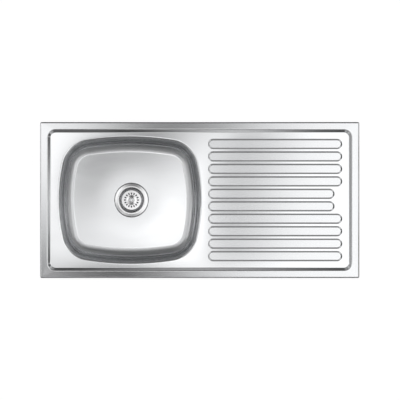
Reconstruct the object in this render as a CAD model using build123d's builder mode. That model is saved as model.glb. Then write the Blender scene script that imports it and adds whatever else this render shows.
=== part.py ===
"""Inset kitchen sink pressed from stainless sheet: one bowl, a ribbed drainboard and a basket-strainer waste.

Millimetres. The origin is the middle of the sink in plan, at the level of the worktop that the rim lies on.
+X points to the drainboard, +Y to the back and +Z up.
"""
from build123d import *
import math
import os

# Pressed top: sheet, border, slope to the recessed deck
sheet = 1.0
sink_length = 940.0
sink_width = 460.0
rim_height = 5.5
edge_bend = 3.0
corner_bend = 4.0
border_width = 23.0
step_run = 9.0
step_drop = 6.0
step_corner_radius = 24.0
step_bend = 4.0

# Bowl: opening in the deck, bulging sides, draft and bottom
bowl_length = 427.6
bowl_side_land = 8.0
bowl_end_land = 18.8
lip_bend = 7.0
collar_height = 4.0
side_arc_radius = 815.0
end_arc_radius = 500.0
bowl_corner_radius = 82.0
bowl_depth = 180.0
wall_draft = 3.0
bottom_radius = 34.0
dish_radius = 95.0
dish_drop = 0.6
waste_shift = 3.6

# Drainboard ribs
rib_count = 10
rib_gap = 6.7
rib_height = 3.0
rib_slope = 45.0
rib_bend = 1.5
rib_bowl_gap = 16.0
rib_end_margin = 19.0
rib_side_margin = 18.0
middle_rib_shortening = 22.5

# Foam seal under the border and sound pads under the bowl
seal_width = 5.5
seal_joint_gap = 0.5
pad_length = 44.0
pad_width = 150.0
pad_thickness = 3.0
pad_gap = 8.0

# Fixing clips under the border
clip_end_distance = 140.0
bracket_width = 20.0
bracket_sheet = 1.5
bracket_bend = 2.0
bracket_flange_margin = 2.0
bracket_flange_reach = 8.0
bracket_foot_reach = 17.0
bracket_screw_offset = 9.0
bracket_foot_level = -22.0
screw_radius = 3.0
screw_bracket_clearance = 0.3
thread_clearance = 0.05
nut_across_flats = 10.0
nut_height = 5.0
screw_tip_engagement = 2.5
screw_head_height = 4.0
claw_level = -44.0
claw_sheet = 2.5
claw_hub_radius = 7.0
claw_width = 12.0
claw_reach = 21.0
claw_tooth_height = 6.0
claw_pivot_clearance = 0.1

# Strainer body and its fastening in the bowl's floor
flange_radius = 49.0
flange_thickness = 1.0
flange_crown_rise = 2.4
flange_crown_width = 6.0
flange_crown_round = 3.0
flange_recess_gap = 1.0
throat_radius = 35.5
throat_round = 3.0
cup_wall = 2.5
cup_floor_wall = 3.0
cup_floor_round = 1.2
cup_hole_clearance = 1.2
ring_clearance = 0.1
flange_seal_thickness = 1.5
flange_seal_inset = 2.0
gasket_thickness = 3.0
gasket_width = 10.0
friction_ring_thickness = 1.0
lock_nut_height = 10.0
lock_nut_rim = 7.0
lock_nut_lug_width = 12.0
lock_nut_lug_height = 5.0
lock_nut_lug_count = 6
outlet_tail_margin = 0.45
outlet_wall = 4.4
outlet_run_below_crossbar = 8.0
crossbar_hub_radius = 7.0
crossbar_height = 5.0
crossbar_spoke_width = 3.0
crossbar_gap = 10.0

# Basket, its knob and the stopper below it
basket_sheet = 0.8
basket_rim_drop = 3.0
basket_rim_clearance = 1.0
basket_depth = 4.4
basket_floor_radius = 29.0
basket_floor_bend = 1.5
basket_boss_bend = 3.0
basket_boss_radius = 14.0
basket_boss_top_radius = 6.8
basket_boss_height = 4.0
slot_count = 16
slot_circle_radius = 19.3
slot_length = 6.0
slot_width = 3.4
stud_radius = 3.0
stud_clearance = 0.05
knob_radius = 4.6
knob_neck_radius = 3.4
knob_shoulder_radius = 5.5
knob_shoulder_height = 1.5
knob_height = 10.0
stopper_gap = 4.0
spacer_radius = 5.5
stopper_overlap = 4.5
stopper_thickness = 5.0
stopper_washer_radius = 10.0
stopper_washer_thickness = 1.0
stopper_nut_across_flats = 9.0
stopper_nut_height = 4.0
peg_clearance = 0.1
peg_overhang = 2.0

# Tailpiece below the outlet
tail_radius = 19.05
tail_wall = 1.2
tail_flange_clearance = 1.5
tail_flange_thickness = 1.5
tail_length = 90.0
tail_neck_swell = 0.2
tail_neck_run = 1.0
tail_washer_thickness = 2.0
coupling_nut_wall = 5.0
coupling_nut_engagement = 14.0
coupling_nut_lip = 3.0
coupling_nut_side_count = 8
coupling_nut_clearance = 0.3

# Levels, from the rim down to the outlet
deck_top = rim_height - step_drop
border_under = rim_height - sheet
weld_level = deck_top - sheet - lip_bend - collar_height
floor_top = deck_top - bowl_depth
dish_bottom = floor_top - dish_drop
seat_top = dish_bottom - flange_seal_thickness - flange_thickness - flange_crown_rise
seat_under = seat_top - sheet
flange_under = seat_top + flange_seal_thickness
flange_top = flange_under + flange_thickness + flange_crown_rise
basket_top = flange_top - basket_rim_drop
basket_floor = basket_top - basket_depth
boss_under = basket_floor + basket_boss_height - basket_sheet
boss_top = basket_floor + basket_boss_height
stopper_top = basket_floor - basket_sheet - stopper_gap
stopper_under = stopper_top - stopper_thickness
cup_floor = stopper_under
stopper_nut_top = stopper_under - stopper_washer_thickness
crossbar_top = stopper_nut_top - stopper_nut_height - crossbar_gap
crossbar_under = crossbar_top - crossbar_height
outlet_end = crossbar_under - outlet_run_below_crossbar
gasket_under = seat_under - gasket_thickness
friction_ring_under = gasket_under - friction_ring_thickness
lock_nut_under = friction_ring_under - lock_nut_height
tail_washer_under = outlet_end - tail_washer_thickness
tail_flange_under = tail_washer_under - tail_flange_thickness

# Plan sizes that follow from the border, the step and the lands around the bowl
lip_width = lip_bend + sheet
field_length = sink_length - 2 * (border_width + step_run)
field_width = sink_width - 2 * (border_width + step_run)
bowl_width = field_width - 2 * bowl_side_land
wall_half_length = bowl_length / 2 - lip_width
wall_half_width = bowl_width / 2 - lip_width
bowl_x = -field_length / 2 + bowl_end_land + bowl_length / 2
drain_x = bowl_x + waste_shift
rib_start = bowl_x + bowl_length / 2 + rib_bowl_gap
rib_end = field_length / 2 - rib_end_margin
rib_width = (field_width - 2 * rib_side_margin - (rib_count - 1) * rib_gap) / rib_count
rib_pitch = rib_width + rib_gap
step_angle = math.degrees(math.atan2(step_drop, step_run))
recess_radius = flange_radius + flange_recess_gap
flange_edge_round = 0.8 * flange_thickness
cup_outer_radius = throat_radius + cup_wall
basket_rim_radius = throat_radius - basket_rim_clearance
outlet_bore_radius = tail_radius + outlet_tail_margin
outlet_thread_radius = outlet_bore_radius + outlet_wall
stopper_radius = outlet_bore_radius + stopper_overlap
coupling_bore = outlet_thread_radius + ring_clearance
tail_flange_radius = coupling_bore - tail_flange_clearance
tail_neck_length = coupling_nut_lip + tail_neck_run

# The waste stands on one upright axis, a little to the drainboard side of the middle of the bowl
drain_axis = Axis((drain_x, 0, 0), (0, 0, 1))
drain_section = Plane(origin=(drain_x, 0, 0), x_dir=(1, 0, 0), z_dir=(0, -1, 0))
drain_plan = Plane(origin=(drain_x, 0, 0), x_dir=(1, 0, 0), z_dir=(0, 0, 1))

# Each clip has a plane on its screw's axis, with y pointing out of the sink
clip_inset = border_width - bracket_flange_margin - bracket_flange_reach + bracket_screw_offset
clip_x = sink_length / 2 - clip_inset
clip_y = sink_width / 2 - clip_inset
clip_span = sink_length / 2 - clip_end_distance
clip_places = {
    "front_left": Plane((-clip_span, -clip_y, 0), x_dir=(-1, 0, 0), z_dir=(0, 0, 1)),
    "front_middle": Plane((0, -clip_y, 0), x_dir=(-1, 0, 0), z_dir=(0, 0, 1)),
    "front_right": Plane((clip_span, -clip_y, 0), x_dir=(-1, 0, 0), z_dir=(0, 0, 1)),
    "back_left": Plane((-clip_span, clip_y, 0), x_dir=(1, 0, 0), z_dir=(0, 0, 1)),
    "back_middle": Plane((0, clip_y, 0), x_dir=(1, 0, 0), z_dir=(0, 0, 1)),
    "back_right": Plane((clip_span, clip_y, 0), x_dir=(1, 0, 0), z_dir=(0, 0, 1)),
    "left_end": Plane((-clip_x, 0, 0), x_dir=(0, 1, 0), z_dir=(0, 0, 1)),
    "right_end": Plane((clip_x, 0, 0), x_dir=(0, -1, 0), z_dir=(0, 0, 1)),
}

os.makedirs("parts", exist_ok=True)


def write(builder, name):
    """Labels a finished piece and writes it under its own name."""
    builder.part.label = name
    export_step(builder.part, f"parts/{name}.step")


def edges_at(form, level):
    """Edges of a form that lie at one level."""
    return form.edges().filter_by_position(Axis.Z, level - 0.001, level + 0.001)


def bowl_outline(plane, grow):
    """Bowl's plan at the foot of its lip, grown outwards: four shallow arcs with rounded corners."""
    with BuildSketch(plane) as outline:
        with Locations((bowl_x, wall_half_width - side_arc_radius)):
            Circle(side_arc_radius + grow)
        with Locations((bowl_x, side_arc_radius - wall_half_width)):
            Circle(side_arc_radius + grow, mode=Mode.INTERSECT)
        for side, turn in ((1, 0), (-1, 180)):
            centre = (bowl_x + side * (end_arc_radius - wall_half_length), 0, 0)
            with Locations(Location(centre, (0, 0, turn))):
                Circle(end_arc_radius + grow, mode=Mode.INTERSECT)
        fillet(outline.vertices(), bowl_corner_radius + grow)
    return outline.sketch


def pressed_form(skin, base):
    """Solid below the top's upper face, with every face sunk into it by skin and its border down to base."""
    outer_bend = sheet - skin
    step_shift = skin * math.tan(math.radians(step_angle) / 2)
    rib_shift = skin * math.tan(math.radians(rib_slope) / 2)
    deck = deck_top - skin
    rim = rim_height - skin
    with BuildPart() as form:
        with BuildSketch(Plane.XY.offset(base)):
            RectangleRounded(sink_length - 2 * skin, sink_width - 2 * skin, corner_bend + outer_bend)
        extrude(amount=rim - base)
        fillet(form.edges().group_by(Axis.Z)[-1], edge_bend + outer_bend)

        # Core under the recessed field, down to the weld of the bowl
        with BuildSketch(Plane.XY.offset(weld_level - skin)):
            Rectangle(sink_length - 2 * border_width, sink_width - 2 * border_width)
        extrude(amount=rim - weld_level + skin)

        # Slope from the border down to the deck
        with BuildSketch(Plane.XY.offset(rim)):
            RectangleRounded(
                sink_length - 2 * (border_width - step_shift),
                sink_width - 2 * (border_width - step_shift),
                step_corner_radius + step_shift,
            )
        extrude(amount=-step_drop, taper=90 - step_angle, mode=Mode.SUBTRACT)
        fillet(form.edges(Select.LAST).group_by(Axis.Z)[-1], step_bend + outer_bend)
        fillet(edges_at(form, deck), step_bend + skin)

        # Hole for the bowl, with its turned-down lip
        add(bowl_outline(Plane.XY.offset(deck), skin))
        extrude(amount=weld_level - sheet - deck_top, mode=Mode.SUBTRACT)
        fillet(form.edges(Select.LAST).group_by(Axis.Z)[-1], lip_bend + outer_bend)

        # Raised ribs, the middle two a little shorter
        with BuildSketch(Plane.XY.offset(deck)):
            for index in range(rib_count):
                is_middle = index in ((rib_count - 1) // 2, rib_count // 2)
                end = rib_end - (middle_rib_shortening if is_middle else 0)
                with Locations(((rib_start + end) / 2, (index - (rib_count - 1) / 2) * rib_pitch)):
                    SlotOverall(end - rib_start - 2 * rib_shift, rib_width - 2 * rib_shift)
        extrude(amount=rib_height, taper=90 - rib_slope)
        fillet(form.edges(Select.LAST).group_by(Axis.Z)[0], rib_bend + skin)
        fillet(edges_at(form, deck + rib_height), rib_bend + outer_bend)
    return form.part


def bowl_form(skin):
    """Solid that fills the bowl below the weld, with every face moved outwards by skin."""
    with BuildPart() as form:
        add(bowl_outline(Plane.XY.offset(weld_level), skin))
        extrude(amount=floor_top - skin - weld_level, taper=wall_draft)
        fillet(form.edges().group_by(Axis.Z)[0], bottom_radius + skin)
        with BuildSketch(drain_section):
            with BuildLine():
                Polyline(
                    (0, floor_top - skin),
                    (dish_radius, floor_top - skin),
                    (recess_radius + skin, dish_bottom - skin),
                    (recess_radius + skin, seat_top - skin),
                    (0, seat_top - skin),
                    close=True,
                )
            make_face()
        revolve(axis=drain_axis)
    return form.part


# Pressed top with border, slope, ribs and the collar of the bowl's hole
with BuildPart() as drainboard_top:
    add(pressed_form(0, 0))
    add(pressed_form(sheet, weld_level - sheet), mode=Mode.SUBTRACT)
write(drainboard_top, "drainboard_top")

# Deep-drawn bowl, butt-welded to the collar, with a dished floor and a recess for the waste flange
with BuildPart() as bowl:
    add(bowl_form(sheet))
    add(bowl_form(0), mode=Mode.SUBTRACT)
    with BuildSketch(drain_plan.offset(seat_under)):
        Circle(cup_outer_radius + cup_hole_clearance)
    extrude(amount=sheet, mode=Mode.SUBTRACT)
write(bowl, "bowl")

# Foam strips under the border, from its underside to the worktop
with BuildPart() as rim_seal:
    seal_inset = edge_bend + sheet
    seal_side_length = sink_length - 2 * seal_inset
    seal_end_length = sink_width - 2 * (seal_inset + seal_width + seal_joint_gap)
    with BuildSketch(Plane.XY):
        with GridLocations(0, sink_width - 2 * seal_inset - seal_width, 1, 2):
            Rectangle(seal_side_length, seal_width)
        with GridLocations(sink_length - 2 * seal_inset - seal_width, 0, 2, 1):
            Rectangle(seal_width, seal_end_length)
    extrude(amount=border_under)
write(rim_seal, "rim_seal")

# Sound pads glued under the bowl's floor, one on each side of the waste
with BuildPart() as sound_pads:
    with BuildSketch(drain_plan.offset(floor_top - sheet)):
        with GridLocations(2 * (dish_radius + pad_gap) + pad_length, 0, 2, 1):
            RectangleRounded(pad_length, pad_width, pad_gap)
    extrude(amount=-pad_thickness)
write(sound_pads, "sound_pads")

# Clip brackets of bent strip, spot-welded under the border, with a hole for the screw in the foot
with BuildPart() as clip_brackets:
    web_middle = bracket_screw_offset - bracket_sheet / 2
    flange_middle = border_under - bracket_sheet / 2
    foot_middle = bracket_foot_level + bracket_sheet / 2
    for place in clip_places.values():
        with BuildSketch(Plane(place.origin, x_dir=place.y_dir, z_dir=place.x_dir)):
            with BuildLine():
                FilletPolyline(
                    (bracket_screw_offset - bracket_flange_reach, flange_middle),
                    (web_middle, flange_middle),
                    (web_middle, foot_middle),
                    (bracket_screw_offset - bracket_foot_reach, foot_middle),
                    radius=bracket_bend,
                )
            trace(line_width=bracket_sheet)
        extrude(amount=bracket_width / 2, both=True)
        with BuildSketch(place.offset(bracket_foot_level)):
            Circle(screw_radius + screw_bracket_clearance)
        extrude(amount=bracket_sheet, mode=Mode.SUBTRACT)
write(clip_brackets, "clip_brackets")

# Nuts welded on the feet of the brackets
nut_seat = bracket_foot_level + bracket_sheet
with BuildPart() as clip_nuts:
    for place in clip_places.values():
        with BuildSketch(place.offset(nut_seat)):
            RegularPolygon(nut_across_flats / 2, 6, major_radius=False)
            Circle(screw_radius + thread_clearance, mode=Mode.SUBTRACT)
        extrude(amount=nut_height)
write(clip_nuts, "clip_nuts")

# Screw and swinging claw of each clip, loosened, with the claw folded in along the edge
for clip, place in clip_places.items():
    claw_under = claw_level - claw_sheet
    screw_tip = nut_seat + screw_tip_engagement
    with BuildPart() as clip_screw:
        with BuildSketch(place.offset(claw_under)):
            RegularPolygon(nut_across_flats / 2, 6, major_radius=False)
        extrude(amount=-screw_head_height)
        with BuildSketch(place.offset(claw_under)):
            Circle(screw_radius)
        extrude(amount=screw_tip - claw_under)
        chamfer(clip_screw.edges().group_by(Axis.Z)[-1], screw_radius / 4)
    write(clip_screw, f"clip_screw_{clip}")

    with BuildPart() as clip_claw:
        with BuildSketch(place.offset(claw_under)):
            Circle(claw_hub_radius)
            Rectangle(claw_reach, claw_width, align=(Align.MIN, Align.CENTER))
            Circle(screw_radius + claw_pivot_clearance, mode=Mode.SUBTRACT)
        extrude(amount=claw_sheet)
        with BuildSketch(place.offset(claw_level)):
            with Locations((claw_reach, 0)):
                Rectangle(claw_sheet, claw_width, align=(Align.MAX, Align.CENTER))
        extrude(amount=claw_tooth_height)
    write(clip_claw, f"clip_claw_{clip}")

# Strainer body: crowned flange, throat, cup and threaded outlet in one, with a crossbar for the basket's peg
with BuildPart() as strainer_body:
    with BuildSketch(drain_section):
        with BuildLine():
            FilletPolyline(
                (flange_radius, flange_under),
                (flange_radius, flange_under + flange_thickness),
                (throat_radius + flange_crown_width, flange_top),
                (throat_radius, flange_top),
                (throat_radius, cup_floor),
                (outlet_bore_radius, cup_floor),
                radius=[flange_edge_round, flange_crown_round, throat_round, cup_floor_round],
            )
            Polyline(
                (outlet_bore_radius, cup_floor),
                (outlet_bore_radius, outlet_end),
                (outlet_thread_radius, outlet_end),
                (outlet_thread_radius, cup_floor - cup_floor_wall),
                (cup_outer_radius, cup_floor - cup_floor_wall),
                (cup_outer_radius, flange_under),
                (flange_radius, flange_under),
            )
        make_face()
    revolve(axis=drain_axis)
    spoke_length = outlet_bore_radius + outlet_thread_radius
    with BuildSketch(drain_plan.offset(crossbar_under)):
        Circle(crossbar_hub_radius)
        Rectangle(spoke_length, crossbar_spoke_width)
        Rectangle(crossbar_spoke_width, spoke_length)
        Circle(stud_radius + peg_clearance, mode=Mode.SUBTRACT)
    extrude(amount=crossbar_height)
write(strainer_body, "strainer_body")

# Rings that clamp the strainer body in the bowl's floor: seal above the sheet, gasket and friction ring below
with BuildPart() as flange_seal:
    with BuildSketch(drain_plan.offset(seat_top)):
        Circle(flange_radius - flange_seal_inset)
        Circle(cup_outer_radius + ring_clearance, mode=Mode.SUBTRACT)
    extrude(amount=flange_seal_thickness)
write(flange_seal, "flange_seal")

with BuildPart() as lower_gasket:
    with BuildSketch(drain_plan.offset(gasket_under)):
        Circle(cup_outer_radius + ring_clearance + gasket_width)
        Circle(cup_outer_radius + ring_clearance, mode=Mode.SUBTRACT)
    extrude(amount=gasket_thickness)
write(lower_gasket, "lower_gasket")

with BuildPart() as friction_ring:
    with BuildSketch(drain_plan.offset(friction_ring_under)):
        Circle(cup_outer_radius + ring_clearance + gasket_width)
        Circle(cup_outer_radius + ring_clearance, mode=Mode.SUBTRACT)
    extrude(amount=friction_ring_thickness)
write(friction_ring, "friction_ring")

# Lock nut on the cup's thread, with lugs for a spanner
with BuildPart() as lock_nut:
    lock_nut_bore = cup_outer_radius + ring_clearance
    with BuildSketch(drain_plan.offset(lock_nut_under)):
        Circle(lock_nut_bore + lock_nut_rim)
        with PolarLocations(lock_nut_bore + lock_nut_rim, lock_nut_lug_count):
            Rectangle(2 * lock_nut_lug_height, lock_nut_lug_width)
        Circle(lock_nut_bore, mode=Mode.SUBTRACT)
    extrude(amount=lock_nut_height)
write(lock_nut, "lock_nut")

# Shallow basket pressed from thin sheet: sloping wall, slotted floor and a raised boss for the knob
with BuildPart() as basket:
    half_sheet = basket_sheet / 2
    with BuildSketch(drain_section):
        with BuildLine():
            FilletPolyline(
                (basket_rim_radius, basket_top - half_sheet),
                (basket_floor_radius, basket_floor - half_sheet),
                (basket_boss_radius, basket_floor - half_sheet),
                (basket_boss_top_radius, boss_top - half_sheet),
                (stud_radius + stud_clearance, boss_top - half_sheet),
                radius=[basket_floor_bend, basket_boss_bend, basket_sheet],
            )
        trace(line_width=basket_sheet)
    revolve(axis=drain_axis)
    with BuildSketch(drain_plan.offset(basket_floor)):
        with PolarLocations(slot_circle_radius, slot_count):
            SlotOverall(slot_length, slot_width)
    extrude(amount=-basket_sheet, mode=Mode.SUBTRACT)
write(basket, "basket")

# Turned knob with the stud that carries the stopper and ends in a peg in the crossbar
with BuildPart() as basket_knob:
    knob_top = boss_top + knob_height
    shoulder_top = boss_top + knob_shoulder_height
    with BuildSketch(drain_section):
        with BuildLine():
            FilletPolyline(
                (0, knob_top),
                (knob_radius, knob_top),
                (knob_radius, (knob_top + shoulder_top) / 2),
                (knob_neck_radius, (knob_top + 3 * shoulder_top) / 4),
                (knob_neck_radius, shoulder_top),
                (knob_shoulder_radius, shoulder_top),
                (knob_shoulder_radius, boss_top),
                radius=[knob_radius / 3, knob_radius / 3, knob_radius / 3, knob_shoulder_height / 3,
                        knob_shoulder_height / 3],
            )
            Polyline(
                (knob_shoulder_radius, boss_top),
                (stud_radius, boss_top),
                (stud_radius, crossbar_under - peg_overhang),
                (0, crossbar_under - peg_overhang),
                (0, knob_top),
            )
        make_face()
    revolve(axis=drain_axis)
write(basket_knob, "basket_knob")

# Spacer tube between the basket's boss and the stopper
with BuildPart() as stopper_spacer:
    with BuildSketch(drain_plan.offset(stopper_top)):
        Circle(spacer_radius)
        Circle(stud_radius + stud_clearance, mode=Mode.SUBTRACT)
    extrude(amount=boss_under - stopper_top)
write(stopper_spacer, "stopper_spacer")

# Rubber stopper, which closes the outlet when the basket is down
with BuildPart() as stopper:
    with BuildSketch(drain_plan.offset(stopper_under)):
        Circle(stopper_radius)
        Circle(stud_radius + stud_clearance, mode=Mode.SUBTRACT)
    extrude(amount=stopper_thickness)
    fillet(stopper.edges().group_by(Axis.Z)[-1].sort_by(SortBy.LENGTH)[-1], stopper_thickness / 3)
write(stopper, "stopper")

with BuildPart() as stopper_washer:
    with BuildSketch(drain_plan.offset(stopper_nut_top)):
        Circle(stopper_washer_radius)
        Circle(stud_radius + stud_clearance, mode=Mode.SUBTRACT)
    extrude(amount=stopper_washer_thickness)
write(stopper_washer, "stopper_washer")

with BuildPart() as stopper_nut:
    with BuildSketch(drain_plan.offset(stopper_nut_top)):
        RegularPolygon(stopper_nut_across_flats / 2, 6, major_radius=False)
        Circle(stud_radius + stud_clearance, mode=Mode.SUBTRACT)
    extrude(amount=-stopper_nut_height)
write(stopper_nut, "stopper_nut")

# Tailpiece: a tube with a flange and a swollen neck that hangs in the coupling nut, sealed by a washer
with BuildPart() as tailpiece:
    with BuildSketch(drain_plan.offset(tail_flange_under)):
        Circle(tail_flange_radius)
    extrude(amount=tail_flange_thickness)
    with BuildSketch(drain_plan.offset(tail_flange_under)):
        Circle(tail_radius + tail_neck_swell)
    extrude(amount=-tail_neck_length)
    with BuildSketch(drain_plan.offset(tail_flange_under)):
        Circle(tail_radius)
    extrude(amount=-tail_length)
    with BuildSketch(drain_plan.offset(tail_washer_under)):
        Circle(tail_radius - tail_wall)
    extrude(amount=-tail_flange_thickness - tail_length, mode=Mode.SUBTRACT)
write(tailpiece, "tailpiece")

with BuildPart() as tail_washer:
    with BuildSketch(drain_plan.offset(tail_washer_under)):
        Circle(tail_flange_radius)
        Circle(tail_radius - tail_wall, mode=Mode.SUBTRACT)
    extrude(amount=tail_washer_thickness)
write(tail_washer, "tail_washer")

with BuildPart() as coupling_nut:
    with BuildSketch(drain_plan.offset(tail_flange_under - coupling_nut_lip)):
        RegularPolygon(coupling_bore + coupling_nut_wall, coupling_nut_side_count, major_radius=False)
        Circle(tail_radius + tail_neck_swell + coupling_nut_clearance, mode=Mode.SUBTRACT)
    extrude(amount=outlet_end + coupling_nut_engagement - tail_flange_under + coupling_nut_lip)
    with BuildSketch(drain_plan.offset(tail_flange_under)):
        Circle(coupling_bore)
    extrude(amount=outlet_end + coupling_nut_engagement - tail_flange_under, mode=Mode.SUBTRACT)
write(coupling_nut, "coupling_nut")
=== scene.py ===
"""Looks of an inset kitchen sink in stainless steel: one deep bowl, a ribbed drainboard, a basket strainer.

Metres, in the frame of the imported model: +X to the drainboard, +Y to the back, +Z up, worktop at zero.
"""
import bmesh
import bpy
import math
import numpy as np
from mathutils.geometry import tessellate_polygon
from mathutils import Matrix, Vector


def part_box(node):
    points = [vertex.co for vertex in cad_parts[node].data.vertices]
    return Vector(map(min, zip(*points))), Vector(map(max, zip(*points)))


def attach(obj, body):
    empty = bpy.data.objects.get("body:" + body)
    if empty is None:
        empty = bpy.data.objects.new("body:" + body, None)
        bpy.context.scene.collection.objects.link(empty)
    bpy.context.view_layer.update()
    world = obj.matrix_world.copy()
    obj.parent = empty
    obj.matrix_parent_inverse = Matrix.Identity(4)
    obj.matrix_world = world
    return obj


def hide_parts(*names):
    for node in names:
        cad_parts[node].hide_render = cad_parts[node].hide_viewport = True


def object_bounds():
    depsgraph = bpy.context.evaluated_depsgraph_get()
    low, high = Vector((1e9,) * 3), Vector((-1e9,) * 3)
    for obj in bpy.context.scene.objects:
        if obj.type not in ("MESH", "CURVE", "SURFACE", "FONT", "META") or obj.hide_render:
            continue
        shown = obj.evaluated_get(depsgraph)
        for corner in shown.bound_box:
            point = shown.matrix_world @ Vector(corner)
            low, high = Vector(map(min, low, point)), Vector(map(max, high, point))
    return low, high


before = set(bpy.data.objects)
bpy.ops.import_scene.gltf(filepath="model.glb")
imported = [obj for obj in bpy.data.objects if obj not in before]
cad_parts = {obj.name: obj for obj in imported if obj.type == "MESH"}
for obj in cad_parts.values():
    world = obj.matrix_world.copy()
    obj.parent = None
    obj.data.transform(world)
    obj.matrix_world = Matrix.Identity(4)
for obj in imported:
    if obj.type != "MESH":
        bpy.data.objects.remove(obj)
cad_low, cad_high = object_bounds()
mm = 0.001

# Pressed top. One sheet of stainless steel is pressed into a raised border, a slope down to the recessed
# field, ten drainage ribs and a turned-down lip round the bowl's hole. Its edge folds down to the worktop.
# Raised faces keep the satin of the brushing belt, and the field between them is buffed brighter.
sheet = 1.0 * mm
top_low, top_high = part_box("drainboard_top")
half_length, half_width, rim_top = top_high
weld_level = top_low.z
edge_roll = 5.0 * mm
edge_roll_flatness = 1.7
outer_corner = 5.0 * mm
border_width = 21.8 * mm
border_fall = 1.1 * mm
step_run = 9.0 * mm
step_drop = 6.0 * mm
step_corner = 24.0 * mm
step_head_bend = 5.0 * mm
step_foot_bend = 4.0 * mm
deck = rim_top - step_drop
bowl_depth = 180.0 * mm
floor_level = deck - bowl_depth
lip_width = 8.0 * mm
lip_shoulder_bend = 14.0 * mm
lip_shoulder_tilt = math.radians(12)
lip_shoulder = 6.3 * mm
lip_roll = 6.0 * mm
guard = 0.4 * mm
guard_share = 0.2
least_guard = 0.02 * mm
merge_distance = 0.002 * mm
sliver_length = 0.0005 * mm
sharp_edge = math.radians(35)
finishes = {}


def rounded_path(corners, radii, steps=8):
    """Path through corner points, with a tangent arc of its own radius at each inner corner.

    A guard point close to each arc keeps the shading of the straight run beside it flat.
    """
    corners = np.asarray(corners, float)
    stretches = [corners[:1]]
    for before, corner, after, radius in zip(corners, corners[1:], corners[2:], radii):
        incoming = (corner - before) / np.linalg.norm(corner - before)
        outgoing = (after - corner) / np.linalg.norm(after - corner)
        turn = math.atan2(incoming[0] * outgoing[1] - incoming[1] * outgoing[0], incoming @ outgoing)
        setback = radius * abs(math.tan(turn / 2))
        spoke = radius * math.copysign(1, turn) * np.array((incoming[1], -incoming[0]))
        sweep = turn * np.linspace(0, 1, steps + 1)[:, None]
        across = np.array((-spoke[1], spoke[0]))
        arc = corner - setback * incoming - spoke + np.cos(sweep) * spoke + np.sin(sweep) * across
        reach = min(guard, guard_share * setback + least_guard)
        stretches.append(np.vstack((arc[:1] - reach * incoming, arc, arc[-1:] + reach * outgoing)))
    stretches.append(corners[-1:])
    return np.vstack(stretches)


def grid(x, y, z):
    """Points with three coordinates each, from arrays of x, y and z that are spread to one shape."""
    return np.stack(np.broadcast_arrays(x, y, z), axis=-1)


def grid_faces(rows, columns, around=True):
    """Quads of a grid numbered row by row: each joins two neighbours in a row to the two in the next row."""
    row = columns * np.arange(rows - 1)[:, None]
    column = np.arange(columns if around else columns - 1)[None, :]
    following = (column + 1) % columns
    quads = (row + column, row + following, row + columns + following, row + columns + column)
    return np.stack(quads, axis=-1).reshape(-1, 4).tolist()


def skin(points, around=True):
    """A grid of points, rows by columns by three, as one surface: its points in a list and its quads."""
    return points.reshape(-1, 3), grid_faces(points.shape[0], points.shape[1], around)


def turned_over(surface):
    """The same surface with its faces pointing the other way."""
    points, faces = surface
    return points, [face[::-1] for face in faces]


def make_piece(name, surfaces, finish, body, node):
    """One object from several surfaces: their points in one list, points that coincide merged into one, and
    smooth shading except at sharp edges. It rides on its body in place of a node."""
    points = np.vstack([part for part, _ in surfaces])
    starts = np.cumsum([0] + [len(part) for part, _ in surfaces])
    faces = [
        [start + index for index in face] for start, (_, part) in zip(starts, surfaces) for face in part
    ]
    mesh = bpy.data.meshes.new(name)
    mesh.from_pydata(points.tolist(), [], faces)
    shell = bmesh.new()
    shell.from_mesh(mesh)
    bmesh.ops.remove_doubles(shell, verts=shell.verts, dist=merge_distance)
    bmesh.ops.dissolve_degenerate(shell, edges=shell.edges, dist=sliver_length)
    bmesh.ops.recalc_face_normals(shell, faces=shell.faces)
    shell.to_mesh(mesh)
    shell.free()
    mesh.shade_smooth()
    mesh.set_sharp_from_angle(angle=sharp_edge)
    mesh.materials.append(finishes[finish])
    piece = bpy.data.objects.new(name, mesh)
    bpy.context.scene.collection.objects.link(piece)
    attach(piece, body)
    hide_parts(node)


def rectangle_rings(inset, height, radius, steps=10):
    """Rounded rectangles round the sink, one for each inset from its edge: four quarter circles each."""
    angle = np.linspace(0, np.pi / 2, steps + 1) + np.arange(4)[:, None] * np.pi / 2
    inset, height, radius = (value[:, None, None] for value in (inset, height, radius))
    side_x = np.array((1, -1, -1, 1))[:, None]
    side_y = np.array((1, 1, -1, -1))[:, None]
    x = side_x * (half_length - inset - radius) + radius * np.cos(angle)
    y = side_y * (half_width - inset - radius) + radius * np.sin(angle)
    return grid(x, y, height).reshape(len(inset), -1, 3)


def border_rings(depth):
    """Border from the fold's lower edge over a flattened edge roll and down the slope to the field, sunk by
    depth."""
    angle = math.atan2(step_drop, step_run)
    shift = depth * math.tan(angle / 2)
    foot = border_width + step_run
    middle = (border_width / 2, rim_top - border_fall / 2 - depth)
    squeeze = np.array((1, edge_roll_flatness))
    edge = rounded_path(
        [(depth, 0) * squeeze, (depth, rim_top - border_fall - depth) * squeeze, middle * squeeze],
        [edge_roll - depth],
        steps=12,
    )
    step = rounded_path(
        [
            middle,
            (border_width - shift, rim_top - depth),
            (foot - shift, deck - depth),
            (foot + step_foot_bend, deck - depth),
        ],
        [step_head_bend - depth, step_foot_bend + depth],
    )
    profile = np.vstack((edge / squeeze, step[1:]))
    inset = profile[:, 0]
    known_inset = (0, edge_roll, border_width - step_head_bend, border_width + step_corner)
    known_radius = (outer_corner, outer_corner - edge_roll, step_corner + step_head_bend, 0)
    return rectangle_rings(inset, profile[:, 1], np.interp(inset, known_inset, known_radius))


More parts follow.
